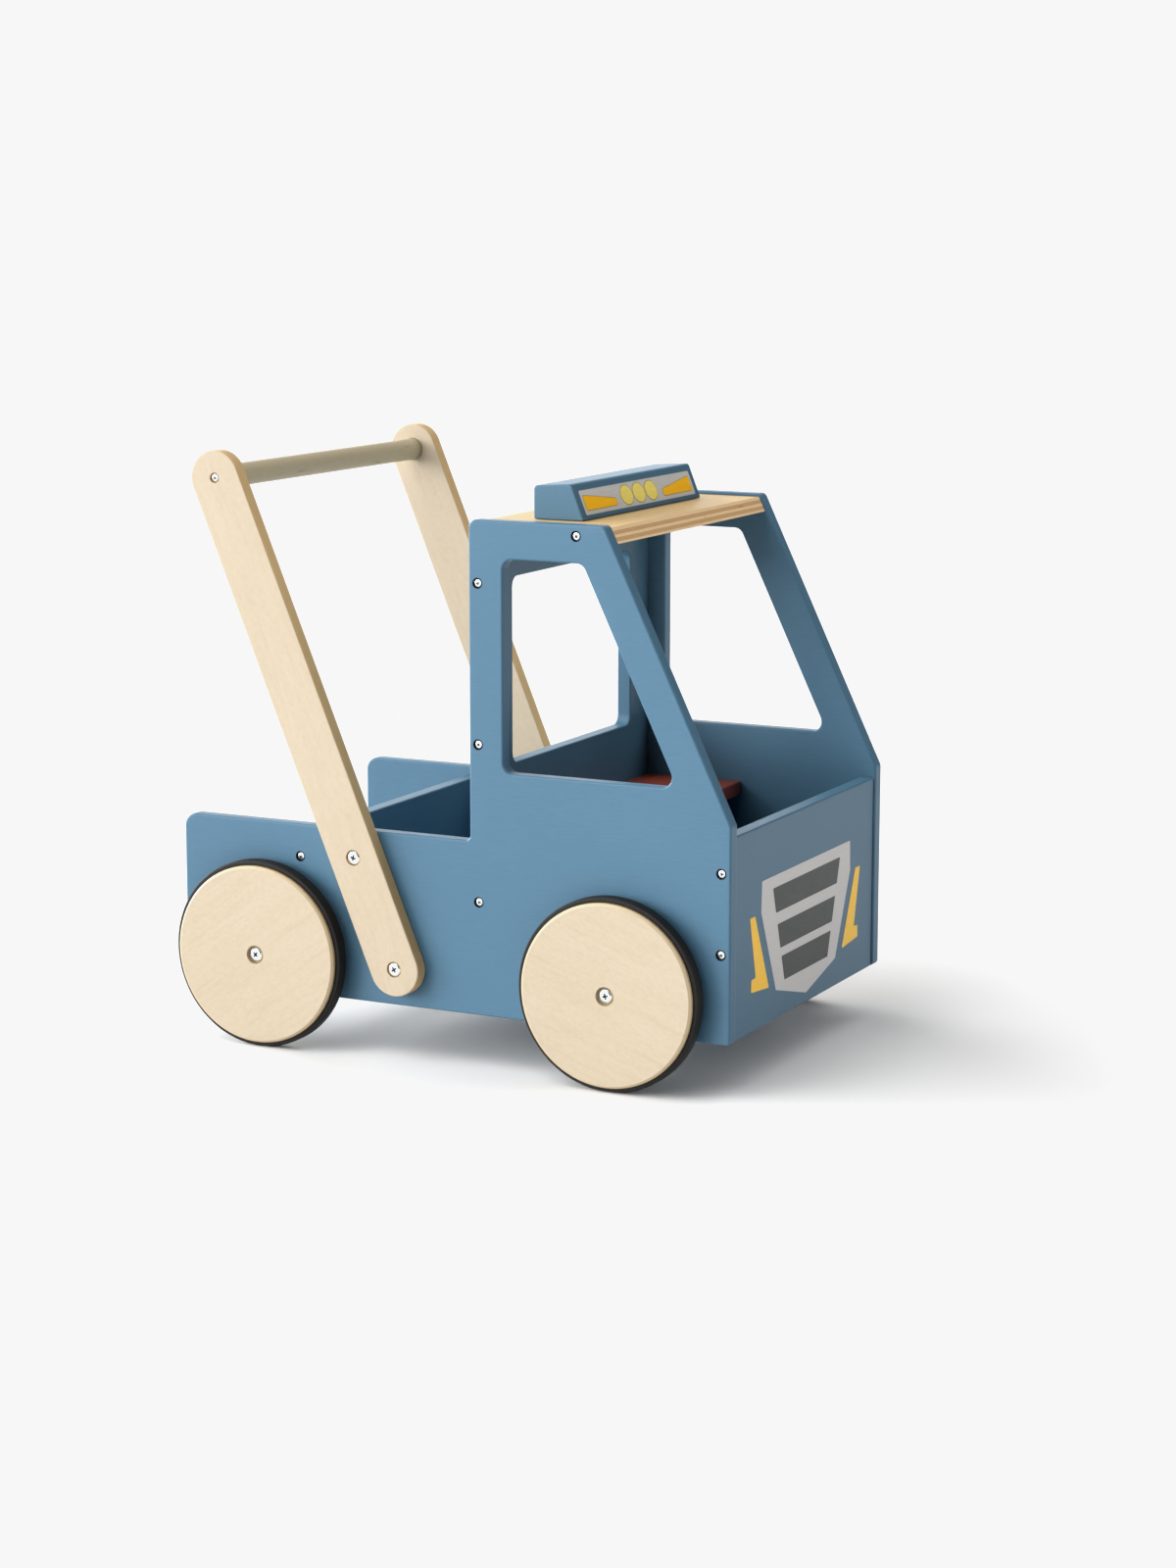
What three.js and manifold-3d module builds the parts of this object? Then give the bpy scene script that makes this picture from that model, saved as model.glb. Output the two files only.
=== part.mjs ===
// Push along truck: a toddler's wooden walker in the form of a pick-up truck.
// Millimetres, +X is the way the truck drives, +Y is its left side, +Z is up.
// The origin is on the floor, midway along the side panels and midway between them.
import * as THREE from "three";
import { mergeVertices } from "three/addons/utils/BufferGeometryUtils.js";
import Module from "manifold-3d";

const wasm = await Module();
wasm.setup();

// ---- driving dimensions ----
const BODY_LENGTH = 474;
const BODY_WIDTH = 300;
const BOARD = 12;              // every board of the body and handle is 12 mm birch plywood
const GAP = 0.3;               // air left between two pieces that touch
const CLEARANCE = 42;          // floor to the lower edge of the side panels

// heights above the lower edge of the side panels
const CAB_HEIGHT = 381;
const BED_SIDE_HEIGHT = 136;
const BONNET_HEIGHT = 165;     // where the windscreen slope starts on the side panels
const FRONT_PANEL_HEIGHT = 156;
const TAILGATE_HEIGHT = 129;
const FLOOR_UNDERSIDE = 43;
const SEAT_TOP = 144;
const ROOF_DROP = 2.5;         // roof board below the top edges of the side panels
const ROOF_SETBACK = 2;        // roof board behind the slope of the side panels
const WINDOW_SILL = 190;
const SIDE_WINDOW_TOP = 352.3;
const REAR_WINDOW_TOP = 333.5;
const REAR_WALL_SCREWS = { top: 333.3, middle: 210.6, bottom: 88.7 };
const FRONT_PANEL_SCREWS = { top: 129.5, bottom: 68.3 };
const TAILGATE_SCREW = 110.1;

// stations along the truck, X
const CAB_REAR = 20;
const CAB_ROOF_FRONT = 133;
const WINDOW_REAR = 48.5;
const WINDOW_FRAME = 28.5;     // frame width left between the window and the slope
const REAR_WALL_SETBACK = 1.5;
const FRONT_PANEL_RECESS = 1.5;
const TAILGATE_REAR = -136.5;
const SEAT_FRONT = 119;
const ROOF_SCREW = 110;
const FLOOR_SCREW = -100;

// distances from the middle of the truck, Y
const REAR_WINDOW_HALF_WIDTH = 104;
const SEAT_SCREW = 80;
const WHEEL_FACE = 172;        // the outer face of every wheel

// corner radii
const PANEL_CORNERS = { foot: 3, bonnet: 6, roofFront: 5, roofRear: 6, bed: 4, tail: 10 };
const WINDOW_CORNER = 8;
const LIGHT_BAR_CORNERS = { foot: 1, crown: 4 };

const LIGHT_BAR_REAR = 52.5;
const LIGHT_BAR_FOOT = 42.5;
const LIGHT_BAR_CROWN = 31.5;
const LIGHT_BAR_HEIGHT = { rear: 25.5, crown: 27.5 };
const LIGHT_BAR_LENGTH = 212;

const ARM_WIDTH = 42.4;
const ARM_LENGTH = 404;        // between the centres of its two round ends
const ARM_LEAN = THREE.MathUtils.degToRad(22.56);
const ARM_FOOT = { x: -40.5, height: 31.2 };
const ARM_BOLT_PITCH = 91.8;
const GRIP_DIAMETER = 18;
const GRIP_SOCKET = 6;
const ROUND_SEGMENTS = 24;     // the grip and its sockets
const ARM_ARC_SEGMENTS = 12;

const WHEELBASE = 305;
const FRONT_AXLE = 144.9;
const TYRE_RADIUS = 74.5;
const TYRE_BORE = 69.5;
const TYRE_WIDTH = 10.7;
const DISC_RADIUS = 70.7;
const DISC_THICKNESS = 15;     // 15 mm birch plywood
const WHEEL_RECESS = { radius: 7.4, depth: 3.9 };
const WHEEL_PLAY = 0.4;        // between a bolt's shank and the disc that turns on it
const DISC_CHAMFER = 1.8;
const TYRE_SHOULDER = 1;
const SPACER_RADIUS = 8;
const WHEEL_SEGMENTS = 40;

const SCREW = { head: 3.4, rim: 0.8, cone: 1.65, shank: 1.75, length: 40, sunk: 0.7 };
const SCREW_SEGMENTS = 8;
const BOLT = { head: 5.6, thickness: 2.6, shank: 3 };
const ARM_RECESS = { radius: 6.2, depth: 2.6 };
const BOLT_SEGMENTS = 12;
const NUT = { flange: 8, plate: 1.2, barrel: 4.4, depth: 8 };

// ---- derived values ----
const SIDE = BODY_WIDTH / 2;
const INNER = SIDE - BOARD;
const FRONT = BODY_LENGTH / 2;
const REAR = -BODY_LENGTH / 2;
const CROSS_WIDTH = 2 * (INNER - GAP);
const up = (height) => CLEARANCE + height;
const SLOPE = (FRONT - CAB_ROOF_FRONT) / (CAB_HEIGHT - BONNET_HEIGHT);
const slopeX = (height) => FRONT - (height - BONNET_HEIGHT) * SLOPE;
const WINDOW_SLOPE_SHIFT = WINDOW_FRAME * Math.hypot(1, SLOPE);
const ROOF_TOP = CAB_HEIGHT - ROOF_DROP;
const FLOOR_TOP = FLOOR_UNDERSIDE + BOARD;
const REAR_WALL_REAR = CAB_REAR + REAR_WALL_SETBACK;
const REAR_WALL_MIDDLE = REAR_WALL_REAR + BOARD / 2;
const REAR_WALL_FRONT = REAR_WALL_REAR + BOARD;
const FRONT_FACE = FRONT - FRONT_PANEL_RECESS;
const ARM_INNER = SIDE + GAP;
const ARM_OUTER = ARM_INNER + BOARD;
const AXLES = { front: FRONT_AXLE, rear: FRONT_AXLE - WHEELBASE };
const AXLE_HEIGHT = TYRE_RADIUS;
const SIDES = { right: -1, left: 1 };
const alongArm = (distance) => ({
  x: ARM_FOOT.x - distance * Math.sin(ARM_LEAN),
  z: up(ARM_FOOT.height) + distance * Math.cos(ARM_LEAN),
});
const GRIP_CENTRE = alongArm(ARM_LENGTH);

// where wood screws go through a side panel into the end of a cross board
const PANEL_SCREWS = {
  rear_wall_top: { x: REAR_WALL_MIDDLE, z: up(REAR_WALL_SCREWS.top) },
  rear_wall_middle: { x: REAR_WALL_MIDDLE, z: up(REAR_WALL_SCREWS.middle) },
  rear_wall_bottom: { x: REAR_WALL_MIDDLE, z: up(REAR_WALL_SCREWS.bottom) },
  roof: { x: ROOF_SCREW, z: up(ROOF_TOP - BOARD / 2) },
  front_panel_top: { x: FRONT_FACE - BOARD / 2, z: up(FRONT_PANEL_SCREWS.top) },
  front_panel_bottom: { x: FRONT_FACE - BOARD / 2, z: up(FRONT_PANEL_SCREWS.bottom) },
  tailgate: { x: TAILGATE_REAR + BOARD / 2, z: up(TAILGATE_SCREW) },
  floor: { x: FLOOR_SCREW, z: up(FLOOR_UNDERSIDE + BOARD / 2) },
};

// ---- materials ----
const paint = new THREE.MeshStandardMaterial({ color: 0x6f93b3, roughness: 0.5, metalness: 0 });
const birch = new THREE.MeshStandardMaterial({ color: 0xead6b4, roughness: 0.55, metalness: 0 });
const rust = new THREE.MeshStandardMaterial({ color: 0x8a4230, roughness: 0.5, metalness: 0 });
const rubber = new THREE.MeshStandardMaterial({ color: 0x2a2724, roughness: 0.75, metalness: 0 });
const zinc = new THREE.MeshStandardMaterial({ color: 0xc4c8cc, roughness: 0.3, metalness: 1 });
const nylon = new THREE.MeshStandardMaterial({ color: 0x3a3c3e, roughness: 0.5, metalness: 0 });

// ---- geometry helpers ----
const group = new THREE.Group();
const MERGE_TOLERANCE = 1e-4;

function add(name, geometry, material, x = 0, y = 0, z = 0) {
  const mesh = new THREE.Mesh(geometry, material.clone());
  mesh.name = name;
  mesh.position.set(x, y, z);
  group.add(mesh);
  return mesh;
}

function toSolid(geometry) {
  const bare = geometry.clone();
  bare.deleteAttribute("normal");
  bare.deleteAttribute("uv");
  const merged = mergeVertices(bare, MERGE_TOLERANCE);
  return new wasm.Manifold(new wasm.Mesh({
    numProp: 3,
    vertProperties: new Float32Array(merged.attributes.position.array),
    triVerts: new Uint32Array(merged.index.array),
  }));
}

function toGeometry(solid) {
  const mesh = solid.getMesh();
  const geometry = new THREE.BufferGeometry();
  geometry.setAttribute("position", new THREE.BufferAttribute(mesh.vertProperties, 3));
  geometry.setIndex(new THREE.BufferAttribute(mesh.triVerts, 1));
  return geometry;
}

function cut(geometry, tools) {
  let solid = toSolid(geometry);
  for (const tool of tools) {
    solid = solid.subtract(toSolid(tool));
  }
  return toGeometry(solid);
}

// An outline whose corners [x, y, radius] are rounded by true arcs, listed anticlockwise.
function roundedOutline(corners, target = new THREE.Shape()) {
  const count = corners.length;
  corners.forEach(([x, y, radius], i) => {
    const here = new THREE.Vector2(x, y);
    const before = new THREE.Vector2(...corners[(i + count - 1) % count]).sub(here).normalize();
    const after = new THREE.Vector2(...corners[(i + 1) % count]).sub(here).normalize();
    const half = Math.acos(THREE.MathUtils.clamp(before.dot(after), -1, 1)) / 2;
    const toTangent = radius / Math.tan(half);
    const centre = before.clone().add(after).normalize().multiplyScalar(radius / Math.sin(half)).add(here);
    const start = before.clone().multiplyScalar(toTangent).add(here).sub(centre);
    const end = after.clone().multiplyScalar(toTangent).add(here).sub(centre);
    const convex = before.x * after.y - before.y * after.x < 0;
    target.absarc(centre.x, centre.y, radius, start.angle(), end.angle(), !convex);
  });
  target.closePath();
  return target;
}

// A board standing in the XZ plane, its thickness centred on Y = 0.
function standingBoard(shape, thickness, arcSegments = 4) {
  const geometry = new THREE.ExtrudeGeometry(shape, {
    depth: thickness, bevelEnabled: false, curveSegments: arcSegments,
  });
  geometry.translate(0, 0, -thickness / 2);
  geometry.rotateX(Math.PI / 2);
  return geometry;
}

// A box from its low corner to its high corner.
function block(x0, x1, y0, y1, z0, z1) {
  const geometry = new THREE.BoxGeometry(x1 - x0, y1 - y0, z1 - z0);
  geometry.translate((x0 + x1) / 2, (y0 + y1) / 2, (z0 + z1) / 2);
  return geometry;
}

// A turned piece whose axis points along +Y, from a profile of [radius, y] points.
function turned(profile, segments) {
  return new THREE.LatheGeometry(profile.map(([radius, y]) => new THREE.Vector2(radius, y)), segments);
}

// The same turned piece for either side of the truck: outward is +Y on the left and -Y on the right.
function outward(geometry, side) {
  const turnedPiece = geometry.clone();
  if (side < 0) {
    turnedPiece.rotateX(Math.PI);
  }
  return turnedPiece;
}

// A countersunk wood screw: its axis is Y, its mouth at y = 0 and its tip at y = -length.
function screwShape(extra = 0) {
  const mouth = extra > 0 ? 1 : -SCREW.sunk;
  const head = SCREW.head + extra;
  const shank = SCREW.shank + extra;
  const rim = -SCREW.sunk - SCREW.rim;
  return turned([
    [0, -SCREW.length - extra], [shank, -SCREW.length - extra], [shank, rim - SCREW.cone],
    [head, rim], [head, mouth], [0, mouth],
  ], SCREW_SEGMENTS);
}

// A pan-head bolt: its axis is Y, the underside of the head at y = 0.
function boltShape(length) {
  return turned([
    [0, -length], [BOLT.shank, -length], [BOLT.shank, 0],
    [BOLT.head, 0], [BOLT.head, BOLT.thickness * 0.5], [BOLT.head * 0.7, BOLT.thickness],
    [0, BOLT.thickness],
  ], BOLT_SEGMENTS);
}

// A tee nut: its plate lies against the inner face of a panel and its barrel goes outward into it.
function nutShape() {
  const bore = BOLT.shank + GAP;
  return turned([
    [bore, -NUT.plate], [NUT.flange, -NUT.plate], [NUT.flange, 0], [NUT.barrel, 0],
    [NUT.barrel, NUT.depth], [bore, NUT.depth], [bore, -NUT.plate],
  ], BOLT_SEGMENTS);
}

const cylinderY = (radius, y0, y1, segments = BOLT_SEGMENTS) =>
  turned([[0, y0], [radius, y0], [radius, y1], [0, y1]], segments);

// ---- holes ----
function panelScrewHoles(names, side) {
  return names.map((name) => {
    const hole = outward(screwShape(GAP), side);
    hole.translate(PANEL_SCREWS[name].x, side * SIDE, PANEL_SCREWS[name].z);
    return hole;
  });
}

const bothSides = (names) => [...panelScrewHoles(names, -1), ...panelScrewHoles(names, 1)];

const NUT_PLACES = [
  ...Object.values(AXLES).map((x) => ({ x, z: AXLE_HEIGHT })),
  alongArm(0),
  alongArm(ARM_BOLT_PITCH),
];

function nutHoles(side) {
  return NUT_PLACES.map(({ x, z }) => {
    const hole = outward(turned([
      [0, -1], [NUT.barrel + GAP, -1], [NUT.barrel + GAP, NUT.depth + GAP],
      [BOLT.shank + GAP, NUT.depth + GAP], [BOLT.shank + GAP, BOARD + 1], [0, BOARD + 1],
    ], BOLT_SEGMENTS), side);
    hole.translate(x, side * INNER, z);
    return hole;
  });
}

// ---- side panels ----
function sidePanel(side) {
  const outline = roundedOutline([
    [REAR, up(0), PANEL_CORNERS.foot], [FRONT, up(0), PANEL_CORNERS.foot],
    [FRONT, up(BONNET_HEIGHT), PANEL_CORNERS.bonnet],
    [CAB_ROOF_FRONT, up(CAB_HEIGHT), PANEL_CORNERS.roofFront],
    [CAB_REAR, up(CAB_HEIGHT), PANEL_CORNERS.roofRear],
    [CAB_REAR, up(BED_SIDE_HEIGHT), PANEL_CORNERS.bed], [REAR, up(BED_SIDE_HEIGHT), PANEL_CORNERS.tail],
  ]);
  outline.holes.push(roundedOutline([
    [WINDOW_REAR, up(WINDOW_SILL), WINDOW_CORNER],
    [slopeX(WINDOW_SILL) - WINDOW_SLOPE_SHIFT, up(WINDOW_SILL), WINDOW_CORNER],
    [slopeX(SIDE_WINDOW_TOP) - WINDOW_SLOPE_SHIFT, up(SIDE_WINDOW_TOP), WINDOW_CORNER],
    [WINDOW_REAR, up(SIDE_WINDOW_TOP), WINDOW_CORNER],
  ], new THREE.Path()));
  const board = standingBoard(outline, BOARD);
  board.translate(0, side * (SIDE - BOARD / 2), 0);
  return cut(board, [...panelScrewHoles(Object.keys(PANEL_SCREWS), side), ...nutHoles(side)]);
}

for (const [label, side] of Object.entries(SIDES)) {
  add(`side_panel_${label}`, sidePanel(side), paint);
}

// ---- cross boards ----
const halfCross = CROSS_WIDTH / 2;

add("front_panel", cut(
  block(FRONT_FACE - BOARD, FRONT_FACE, -halfCross, halfCross, up(0), up(FRONT_PANEL_HEIGHT)),
  bothSides(["front_panel_top", "front_panel_bottom"]),
), paint);

function seatScrew(side, extra = 0) {
  const screw = screwShape(extra);
  screw.rotateZ(Math.PI / 2);
  screw.translate(REAR_WALL_REAR, side * SEAT_SCREW, up(SEAT_TOP - BOARD / 2));
  return screw;
}
const seatScrewHoles = Object.values(SIDES).map((side) => seatScrew(side, GAP));

function rearWall() {
  const wallBase = up(FLOOR_TOP) + GAP;
  const wallTop = up(ROOF_TOP - BOARD) - GAP;
  const outline = new THREE.Shape([
    new THREE.Vector2(-halfCross, wallBase), new THREE.Vector2(halfCross, wallBase),
    new THREE.Vector2(halfCross, wallTop), new THREE.Vector2(-halfCross, wallTop),
  ]);
  outline.holes.push(roundedOutline([
    [-REAR_WINDOW_HALF_WIDTH, up(WINDOW_SILL), WINDOW_CORNER],
    [REAR_WINDOW_HALF_WIDTH, up(WINDOW_SILL), WINDOW_CORNER],
    [REAR_WINDOW_HALF_WIDTH, up(REAR_WINDOW_TOP), WINDOW_CORNER],
    [-REAR_WINDOW_HALF_WIDTH, up(REAR_WINDOW_TOP), WINDOW_CORNER],
  ], new THREE.Path()));
  const board = standingBoard(outline, BOARD);
  board.rotateZ(Math.PI / 2);
  board.translate(REAR_WALL_MIDDLE, 0, 0);
  return cut(board, [
    ...bothSides(["rear_wall_top", "rear_wall_middle", "rear_wall_bottom"]), ...seatScrewHoles,
  ]);
}
add("cab_rear_wall", rearWall(), paint);

add("tailgate", cut(
  block(TAILGATE_REAR, TAILGATE_REAR + BOARD, -halfCross, halfCross, up(0), up(TAILGATE_HEIGHT)),
  bothSides(["tailgate"]),
), paint);

add("floor_board", cut(
  block(TAILGATE_REAR + BOARD + GAP, FRONT_FACE - BOARD - GAP, -halfCross, halfCross,
    up(FLOOR_UNDERSIDE), up(FLOOR_TOP)),
  bothSides(["floor"]),
), paint);

add("seat_board", cut(
  block(REAR_WALL_FRONT + GAP, SEAT_FRONT, -halfCross, halfCross, up(SEAT_TOP - BOARD), up(SEAT_TOP)),
  seatScrewHoles,
), rust);

// the roof's front edge is cut along the slope of the windscreen
const roofOutline = new THREE.Shape([
  new THREE.Vector2(CAB_REAR, up(ROOF_TOP - BOARD)),
  new THREE.Vector2(slopeX(ROOF_TOP - BOARD) - ROOF_SETBACK, up(ROOF_TOP - BOARD)),
  new THREE.Vector2(slopeX(ROOF_TOP) - ROOF_SETBACK, up(ROOF_TOP)),
  new THREE.Vector2(CAB_REAR, up(ROOF_TOP)),
]);
add("roof_board", cut(standingBoard(roofOutline, CROSS_WIDTH), bothSides(["roof"])), birch);

const lightBarBase = up(ROOF_TOP) + GAP;
const lightBarOutline = roundedOutline([
  [LIGHT_BAR_REAR, lightBarBase, LIGHT_BAR_CORNERS.foot],
  [LIGHT_BAR_REAR + LIGHT_BAR_FOOT, lightBarBase, LIGHT_BAR_CORNERS.foot],
  [LIGHT_BAR_REAR + LIGHT_BAR_CROWN, lightBarBase + LIGHT_BAR_HEIGHT.crown, LIGHT_BAR_CORNERS.crown],
  [LIGHT_BAR_REAR, lightBarBase + LIGHT_BAR_HEIGHT.rear, LIGHT_BAR_CORNERS.crown],
]);
add("roof_light_bar", standingBoard(lightBarOutline, LIGHT_BAR_LENGTH), paint);

// ---- wood screws ----
for (const [label, side] of Object.entries(SIDES)) {
  for (const [name, place] of Object.entries(PANEL_SCREWS)) {
    add(`screw_${name}_${label}`, outward(screwShape(), side), zinc, place.x, side * SIDE, place.z);
  }
  add(`screw_seat_${label}`, seatScrew(side), zinc);
}

// ---- push handle ----
// An arm stands upright with its foot's centre at the origin; the mesh leans it back.
function handleArm(side) {
  const radius = ARM_WIDTH / 2;
  const outline = new THREE.Shape();
  outline.absarc(0, 0, radius, Math.PI, 2 * Math.PI, false);
  outline.absarc(0, ARM_LENGTH, radius, 0, Math.PI, false);
  outline.closePath();
  const board = standingBoard(outline, BOARD, ARM_ARC_SEGMENTS);
  const socket = outward(
    cylinderY(GRIP_DIAMETER / 2 + GAP, -BOARD, GRIP_SOCKET - BOARD / 2, ROUND_SEGMENTS), side);
  socket.translate(0, 0, ARM_LENGTH);
  const screwHole = outward(screwShape(GAP), side);
  screwHole.translate(0, side * BOARD / 2, ARM_LENGTH);
  const recessFloor = BOARD / 2 - ARM_RECESS.depth - GAP;
  const boltHoles = [0, ARM_BOLT_PITCH].map((distance) => {
    const hole = outward(turned([
      [0, -BOARD], [BOLT.shank + GAP, -BOARD], [BOLT.shank + GAP, recessFloor],
      [ARM_RECESS.radius, recessFloor], [ARM_RECESS.radius, BOARD], [0, BOARD],
    ], BOLT_SEGMENTS), side);
    hole.translate(0, 0, distance);
    return hole;
  });
  return cut(board, [socket, screwHole, ...boltHoles]);
}

for (const [label, side] of Object.entries(SIDES)) {
  const arm = add(`handle_arm_${label}`, handleArm(side), birch,
    ARM_FOOT.x, side * (ARM_INNER + BOARD / 2), up(ARM_FOOT.height));
  arm.rotation.y = -ARM_LEAN;
  add(`screw_grip_${label}`, outward(screwShape(), side), zinc,
    GRIP_CENTRE.x, side * ARM_OUTER, GRIP_CENTRE.z);
}

const gripHalf = ARM_INNER + GRIP_SOCKET - GAP;
const gripScrewHoles = Object.values(SIDES).map((side) => {
  const hole = outward(screwShape(GAP), side);
  hole.translate(0, side * ARM_OUTER, 0);
  return hole;
});
const gripBar = cylinderY(GRIP_DIAMETER / 2, -gripHalf, gripHalf, ROUND_SEGMENTS);
add("handle_grip", cut(gripBar, gripScrewHoles), birch, GRIP_CENTRE.x, 0, GRIP_CENTRE.z);

// ---- arm bolts and their tee nuts ----
const armBoltSeat = ARM_OUTER - ARM_RECESS.depth;
const armBoltLength = armBoltSeat - INNER;
for (const [label, side] of Object.entries(SIDES)) {
  for (const [height, distance] of Object.entries({ lower: 0, upper: ARM_BOLT_PITCH })) {
    const { x, z } = alongArm(distance);
    add(`arm_bolt_${height}_${label}`, outward(boltShape(armBoltLength), side), zinc,
      x, side * armBoltSeat, z);
    add(`arm_nut_${height}_${label}`, outward(nutShape(), side), zinc, x, side * (INNER - GAP), z);
  }
}

// ---- wheels ----
const discInner = WHEEL_FACE - DISC_THICKNESS;

function wheelDisc() {
  const bore = BOLT.shank + WHEEL_PLAY;
  return turned([
    [bore, discInner], [TYRE_BORE - GAP, discInner], [TYRE_BORE - GAP, discInner + TYRE_WIDTH + GAP],
    [DISC_RADIUS, discInner + TYRE_WIDTH + GAP], [DISC_RADIUS, WHEEL_FACE - DISC_CHAMFER],
    [DISC_RADIUS - DISC_CHAMFER, WHEEL_FACE], [WHEEL_RECESS.radius, WHEEL_FACE],
    [WHEEL_RECESS.radius, WHEEL_FACE - WHEEL_RECESS.depth], [bore, WHEEL_FACE - WHEEL_RECESS.depth],
    [bore, discInner],
  ], WHEEL_SEGMENTS);
}

function tyreRing() {
  return turned([
    [TYRE_BORE, discInner], [TYRE_RADIUS - TYRE_SHOULDER, discInner],
    [TYRE_RADIUS, discInner + TYRE_SHOULDER], [TYRE_RADIUS, discInner + TYRE_WIDTH - TYRE_SHOULDER],
    [TYRE_RADIUS - TYRE_SHOULDER, discInner + TYRE_WIDTH], [TYRE_BORE, discInner + TYRE_WIDTH],
    [TYRE_BORE, discInner],
  ], WHEEL_SEGMENTS);
}

// the spacer keeps the disc clear of the side panel
function wheelSpacer() {
  const bore = BOLT.shank + GAP;
  return turned([
    [bore, SIDE + GAP], [SPACER_RADIUS, SIDE + GAP], [SPACER_RADIUS, discInner - GAP],
    [bore, discInner - GAP], [bore, SIDE + GAP],
  ], BOLT_SEGMENTS * 2);
}

const wheelBoltSeat = WHEEL_FACE - WHEEL_RECESS.depth + GAP;
for (const [end, x] of Object.entries(AXLES)) {
  for (const [label, side] of Object.entries(SIDES)) {
    const where = `${end}_${label}`;
    add(`wheel_disc_${where}`, outward(wheelDisc(), side), birch, x, 0, AXLE_HEIGHT);
    add(`tyre_${where}`, outward(tyreRing(), side), rubber, x, 0, AXLE_HEIGHT);
    add(`wheel_spacer_${where}`, outward(wheelSpacer(), side), nylon, x, 0, AXLE_HEIGHT);
    add(`wheel_bolt_${where}`, outward(boltShape(wheelBoltSeat - INNER), side), zinc,
      x, side * wheelBoltSeat, AXLE_HEIGHT);
    add(`wheel_nut_${where}`, outward(nutShape(), side), zinc, x, side * (INNER - GAP), AXLE_HEIGHT);
  }
}

export default group;
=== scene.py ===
"""Push along truck: the visual model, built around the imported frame. Metres, +X forward, +Z up."""
import math

import bmesh
import bpy
from mathutils import Matrix, Vector


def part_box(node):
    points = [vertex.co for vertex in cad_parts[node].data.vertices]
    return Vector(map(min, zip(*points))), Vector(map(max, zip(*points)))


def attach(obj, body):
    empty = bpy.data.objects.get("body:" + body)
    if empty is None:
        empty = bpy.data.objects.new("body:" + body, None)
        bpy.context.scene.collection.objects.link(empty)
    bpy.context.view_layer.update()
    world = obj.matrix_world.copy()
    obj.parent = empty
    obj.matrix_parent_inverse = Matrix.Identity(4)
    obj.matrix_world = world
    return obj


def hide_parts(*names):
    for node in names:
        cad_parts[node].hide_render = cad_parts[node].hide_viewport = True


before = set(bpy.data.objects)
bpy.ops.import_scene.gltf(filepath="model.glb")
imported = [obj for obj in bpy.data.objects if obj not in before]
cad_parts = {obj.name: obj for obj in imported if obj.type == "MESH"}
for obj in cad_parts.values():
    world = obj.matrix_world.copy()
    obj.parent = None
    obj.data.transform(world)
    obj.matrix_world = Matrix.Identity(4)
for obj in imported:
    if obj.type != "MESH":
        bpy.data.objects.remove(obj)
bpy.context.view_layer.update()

MM = 0.001
SIDES = {"right": -1, "left": 1}
X_AXIS, Y_AXIS, Z_AXIS = Vector((1, 0, 0)), Vector((0, 1, 0)), Vector((0, 0, 1))
GRAIN_SPACE = "grain_space"    # each piece's own coordinates, which its wood grain follows


# ---------------------------------------------------------------- mesh helpers

def offset_corners(corners, inset):
    """Moves every edge of an anticlockwise outline inward; corners are (x, y, radius)."""
    moved = []
    count = len(corners)
    for i, (x, y, radius) in enumerate(corners):
        here = Vector((x, y))
        before = here - Vector(corners[i - 1][:2])
        after = Vector(corners[(i + 1) % count][:2]) - here
        normal_in = Vector((-before.y, before.x)).normalized()
        normal_out = Vector((-after.y, after.x)).normalized()
        shift = (normal_in + normal_out) * (inset / (1 + normal_in.dot(normal_out)))
        convex = before.x * after.y - before.y * after.x > 0
        moved.append((x + shift.x, y + shift.y, max(radius - inset if convex else radius + inset, 1e-5)))
    return moved


def rounded_points(corners, steps):
    """The points of an outline whose corners are true arcs of a fixed number of steps."""
    points = []
    count = len(corners)
    for i, (x, y, radius) in enumerate(corners):
        here = Vector((x, y))
        before = (Vector(corners[i - 1][:2]) - here).normalized()
        after = (Vector(corners[(i + 1) % count][:2]) - here).normalized()
        half = before.angle(after) / 2
        centre = here + (before + after).normalized() * (radius / math.sin(half))
        start = here + before * (radius / math.tan(half)) - centre
        turn = math.pi - 2 * half
        if before.x * after.y - before.y * after.x > 0:
            turn = -turn
        for step in range(steps + 1):
            angle = turn * step / steps
            cosine, sine = math.cos(angle), math.sin(angle)
            points.append((centre.x + start.x * cosine - start.y * sine,
                           centre.y + start.x * sine + start.y * cosine))
    return points


def circle_points(x, y, radius, count):
    return [(x + radius * math.cos(2 * math.pi * i / count), y + radius * math.sin(2 * math.pi * i / count))
            for i in range(count)]


def add_ring(bm, points, z):
    return [bm.verts.new((x, y, z)) for x, y in points]


def join_rings(bm, lower, upper):
    count = len(lower)
    for i in range(count):
        j = (i + 1) % count
        bm.faces.new((lower[i], lower[j], upper[j], upper[i]))


def fill_cap(bm, rings, z_sign):
    """Fills the flat face bounded by the first ring and pierced by the others."""
    edges = []
    for ring in rings:
        for i, vert in enumerate(ring):
            following = ring[(i + 1) % len(ring)]
            edge = bm.edges.get((vert, following)) or bm.edges.new((vert, following))
            edges.append(edge)
    made = bmesh.ops.triangle_fill(bm, use_beauty=True, use_dissolve=False, edges=edges,
                                   normal=(0, 0, z_sign))
    for item in made["geom"]:
        if isinstance(item, bmesh.types.BMFace):
            item.normal_update()
            if item.normal.z * z_sign < 0:
                item.normal_flip()


def edge_profile(half_thickness, edge, steps=4):
    """(inset, z) pairs round the edge of a board, from its lower face to its upper face."""
    lower = []
    for step in range(steps + 1):
        angle = math.pi / 2 * step / steps
        lower.append((edge * (1 - math.sin(angle)), -half_thickness + edge * (1 - math.cos(angle))))
    upper = [(inset, -z) for inset, z in reversed(lower)]
    return lower + upper


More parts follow.
